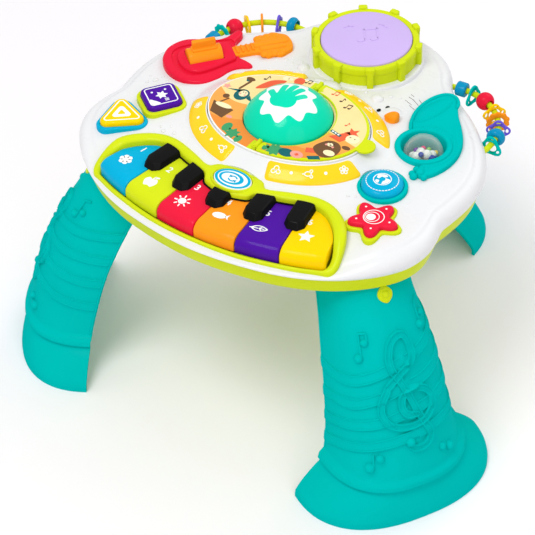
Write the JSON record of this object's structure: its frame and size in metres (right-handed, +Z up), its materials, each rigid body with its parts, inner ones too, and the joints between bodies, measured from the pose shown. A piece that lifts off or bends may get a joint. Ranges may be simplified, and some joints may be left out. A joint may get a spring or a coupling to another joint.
{
  "type": "activity table",
  "caption": "Toddler's activity table: a domed top on curved legs with a piano, drum, guitar, horn, shaped buttons, a dome button in a flip-page disc, and arches of beads.",
  "frame": {"origin": "middle of the table's bounding box at floor level", "axes": "+Z up, +X to the right of a child who faces the piano from the front, +Y from the piano towards the drum at the back"},
  "size_m": [0.5082, 0.4612, 0.2965],
  "materials": {
    "amber": "translucent amber",
    "black": "smooth moulded gloss",
    "blue": "smooth moulded gloss",
    "board": "coated circuit board",
    "clear": "clear moulded plastic",
    "green": "smooth moulded gloss",
    "grey": "satin dark",
    "lilac": "satin with fine texture",
    "lime": "smooth moulded gloss",
    "orange": "smooth moulded gloss",
    "picture": "printed card under a satin film",
    "purple": "smooth moulded gloss",
    "red": "smooth moulded gloss",
    "steel": "bright plated",
    "teal": "smooth moulded gloss",
    "white": "smooth moulded gloss",
    "yellow": "smooth moulded gloss"
  },
  "bodies": {
    "table": {"top_shell": "white", "base_tray": "lime", "piano_bezel": "lime", "black_keys": "black", "disc_base": "picture", "light_windows": "amber", "triangle_base": "blue", "square_base": "lime", "round_base": "teal", "star_base": "lime", "drum_ring": "lime", "guitar_body": "red", "guitar_neck": "orange", "horn_body": "teal", "beak": "orange", "arch_rail_right": "lime", "arch_rail_left": "lime", "battery_door": "lime", "battery_screw": "steel", "speaker": "grey", "main_board": "board", "leg_front_right": "teal", "leg_front_left": "teal", "leg_back": "teal"},
    "key_1": {"piano_key_1": "blue"},
    "key_2": {"piano_key_2": "lime"},
    "key_3": {"piano_key_3": "red"},
    "key_4": {"piano_key_4": "orange"},
    "key_5": {"piano_key_5": "purple"},
    "key_6": {"piano_key_6": "yellow"},
    "triangle_cap": {"triangle_button": "yellow"},
    "square_cap": {"square_button": "purple"},
    "round_cap": {"round_button": "blue"},
    "star_cap": {"star_button": "red"},
    "mode_cap": {"mode_button": "blue"},
    "dome": {"dome_button": "green"},
    "drum_skin": {"drum_head": "lilac"},
    "latch_front_right": {"leg_latch_front_right": "lime"},
    "latch_front_left": {"leg_latch_front_left": "lime"},
    "latch_back": {"leg_latch_back": "lime"},
    "roller": {"strum_roller": "orange"},
    "page": {"flip_page": "lime"},
    "ball": {"rattle_ball": "clear", "rattle_beads": "purple"},
    "switch": {"power_switch": "grey"},
    "right_teal_hoop": {"right_teal_hoop": "teal"},
    "right_blue_cup": {"right_blue_cup": "blue"},
    "right_purple_ring": {"right_purple_ring": "purple"},
    "right_orange_ring": {"right_orange_ring": "orange"},
    "right_yellow_ring": {"right_yellow_ring": "yellow"},
    "right_red_ball": {"right_red_ball": "red"},
    "right_teal_ring": {"right_teal_ring": "teal"},
    "right_blue_bead": {"right_blue_bead": "blue"},
    "left_blue_bead": {"left_blue_bead": "blue"},
    "left_teal_ring": {"left_teal_ring": "teal"},
    "left_red_ball": {"left_red_ball": "red"},
    "left_yellow_ring": {"left_yellow_ring": "yellow"},
    "left_orange_ring": {"left_orange_ring": "orange"},
    "left_purple_ring": {"left_purple_ring": "purple"},
    "left_blue_cup": {"left_blue_cup": "blue"}
  },
  "joints": [
    {"name": "key_1_press", "type": "hinge", "parent": "table", "child": "key_1", "pos_m": [-0.08593, -0.10162, 0.246], "axis": [0.9744, -0.225, 0], "range_deg": [0, 2.3], "stiffness_Nm_per_rad": 2, "springref_deg": -1.15},
    {"name": "key_2_press", "type": "hinge", "parent": "table", "child": "key_2", "pos_m": [-0.05184, -0.10788, 0.246], "axis": [0.9907, -0.1357, 0], "range_deg": [0, 2.3], "stiffness_Nm_per_rad": 2, "springref_deg": -1.15},
    {"name": "key_3_press", "type": "hinge", "parent": "table", "child": "key_3", "pos_m": [-0.01733, -0.11102, 0.246], "axis": [0.999, -0.0454, 0], "range_deg": [0, 2.3], "stiffness_Nm_per_rad": 2, "springref_deg": -1.15},
    {"name": "key_4_press", "type": "hinge", "parent": "table", "child": "key_4", "pos_m": [0.01733, -0.11102, 0.246], "axis": [0.999, 0.0454, 0], "range_deg": [0, 2.3], "stiffness_Nm_per_rad": 2, "springref_deg": -1.15},
    {"name": "key_5_press", "type": "hinge", "parent": "table", "child": "key_5", "pos_m": [0.05184, -0.10788, 0.246], "axis": [0.9907, 0.1357, 0], "range_deg": [0, 2.3], "stiffness_Nm_per_rad": 2, "springref_deg": -1.15},
    {"name": "key_6_press", "type": "hinge", "parent": "table", "child": "key_6", "pos_m": [0.08593, -0.10162, 0.246], "axis": [0.9744, 0.225, 0], "range_deg": [0, 2.3], "stiffness_Nm_per_rad": 2, "springref_deg": -1.15},
    {"name": "triangle_press", "type": "slide", "parent": "table", "child": "triangle_cap", "axis": [0, 0, -1], "range_m": [0, 0.003], "stiffness_N_per_m": 300, "springref_m": -0.002},
    {"name": "square_press", "type": "slide", "parent": "table", "child": "square_cap", "axis": [0, 0, -1], "range_m": [0, 0.003], "stiffness_N_per_m": 300, "springref_m": -0.002},
    {"name": "round_press", "type": "slide", "parent": "table", "child": "round_cap", "axis": [0, 0, -1], "range_m": [0, 0.003], "stiffness_N_per_m": 300, "springref_m": -0.002},
    {"name": "star_press", "type": "slide", "parent": "table", "child": "star_cap", "axis": [0, 0, -1], "range_m": [0, 0.003], "stiffness_N_per_m": 300, "springref_m": -0.002},
    {"name": "mode_press", "type": "slide", "parent": "table", "child": "mode_cap", "axis": [0, 0, -1], "range_m": [0, 0.002], "stiffness_N_per_m": 300, "springref_m": -0.002},
    {"name": "dome_press", "type": "slide", "parent": "table", "child": "dome", "axis": [0, 0, -1], "range_m": [0, 0.003], "stiffness_N_per_m": 500, "springref_m": -0.002},
    {"name": "drum_press", "type": "slide", "parent": "table", "child": "drum_skin", "axis": [0, 0, -1], "range_m": [0, 0.0025], "stiffness_N_per_m": 900, "springref_m": -0.002},
    {"name": "latch_front_right_press", "type": "slide", "parent": "table", "child": "latch_front_right", "axis": [-0.7207, 0.4161, -0.5544], "range_m": [0, 0.0025], "stiffness_N_per_m": 400, "springref_m": -0.001},
    {"name": "latch_front_left_press", "type": "slide", "parent": "table", "child": "latch_front_left", "axis": [0.7207, 0.4161, -0.5544], "range_m": [0, 0.0025], "stiffness_N_per_m": 400, "springref_m": -0.001},
    {"name": "latch_back_press", "type": "slide", "parent": "table", "child": "latch_back", "axis": [0, -0.8322, -0.5544], "range_m": [0, 0.0025], "stiffness_N_per_m": 400, "springref_m": -0.001},
    {"name": "roller_swing", "type": "hinge", "parent": "table", "child": "roller", "pos_m": [-0.1283, 0.00819, 0.257], "axis": [0.6428, 0.766, 0], "range_deg": [-25, 25], "stiffness_Nm_per_rad": 0.05},
    {"name": "page_hinge", "type": "hinge", "parent": "table", "child": "page", "pos_m": [0, -0.03941, 0.2721], "axis": [0, -1, 0], "range_deg": [0, 176]},
    {"name": "ball_spin", "type": "hinge", "parent": "table", "child": "ball", "pos_m": [0.117, 0.00359, 0.249], "axis": [1, 0, 0], "continuous": true},
    {"name": "switch_slide", "type": "slide", "parent": "table", "child": "switch", "axis": [1, 0, 0], "range_m": [0, 0.006]},
    {"name": "right_teal_hoop_slide", "type": "hinge", "parent": "table", "child": "right_teal_hoop", "pos_m": [0.095, 0.05859, 0.237], "axis": [0, 0, 1], "range_deg": [-1.5, 2.2]},
    {"name": "right_blue_cup_slide", "type": "hinge", "parent": "table", "child": "right_blue_cup", "pos_m": [0.095, 0.05859, 0.237], "axis": [0, 0, 1], "range_deg": [-2.2, 3.2]},
    {"name": "right_purple_ring_slide", "type": "hinge", "parent": "table", "child": "right_purple_ring", "pos_m": [0.095, 0.05859, 0.237], "axis": [0, 0, 1], "range_deg": [-3.2, 4.3]},
    {"name": "right_orange_ring_slide", "type": "hinge", "parent": "table", "child": "right_orange_ring", "pos_m": [0.095, 0.05859, 0.237], "axis": [0, 0, 1], "range_deg": [-4.3, 4.3]},
    {"name": "right_yellow_ring_slide", "type": "hinge", "parent": "table", "child": "right_yellow_ring", "pos_m": [0.095, 0.05859, 0.237], "axis": [0, 0, 1], "range_deg": [-4.3, 3.9]},
    {"name": "right_red_ball_slide", "type": "hinge", "parent": "table", "child": "right_red_ball", "pos_m": [0.095, 0.05859, 0.237], "axis": [0, 0, 1], "range_deg": [-3.9, 2.9]},
    {"name": "right_teal_ring_slide", "type": "hinge", "parent": "table", "child": "right_teal_ring", "pos_m": [0.095, 0.05859, 0.237], "axis": [0, 0, 1], "range_deg": [-2.9, 2.4]},
    {"name": "right_blue_bead_slide", "type": "hinge", "parent": "table", "child": "right_blue_bead", "pos_m": [0.095, 0.05859, 0.237], "axis": [0, 0, 1], "range_deg": [-2.4, 1.5]},
    {"name": "left_blue_bead_slide", "type": "hinge", "parent": "table", "child": "left_blue_bead", "pos_m": [-0.095, 0.05859, 0.237], "axis": [0, 0, 1], "range_deg": [-2.9, 0.1]},
    {"name": "left_teal_ring_slide", "type": "hinge", "parent": "table", "child": "left_teal_ring", "pos_m": [-0.095, 0.05859, 0.237], "axis": [0, 0, 1], "range_deg": [-2.4, 2.9]},
    {"name": "left_red_ball_slide", "type": "hinge", "parent": "table", "child": "left_red_ball", "pos_m": [-0.095, 0.05859, 0.237], "axis": [0, 0, 1], "range_deg": [-1.9, 2.4]},
    {"name": "left_yellow_ring_slide", "type": "hinge", "parent": "table", "child": "left_yellow_ring", "pos_m": [-0.095, 0.05859, 0.237], "axis": [0, 0, 1], "range_deg": [-5.3, 1.9]},
    {"name": "left_orange_ring_slide", "type": "hinge", "parent": "table", "child": "left_orange_ring", "pos_m": [-0.095, 0.05859, 0.237], "axis": [0, 0, 1], "range_deg": [-6.3, 5.3]},
    {"name": "left_purple_ring_slide", "type": "hinge", "parent": "table", "child": "left_purple_ring", "pos_m": [-0.095, 0.05859, 0.237], "axis": [0, 0, 1], "range_deg": [-3.7, 6.3]},
    {"name": "left_blue_cup_slide", "type": "hinge", "parent": "table", "child": "left_blue_cup", "pos_m": [-0.095, 0.05859, 0.237], "axis": [0, 0, 1], "range_deg": [-1.5, 3.7]}
  ]
}
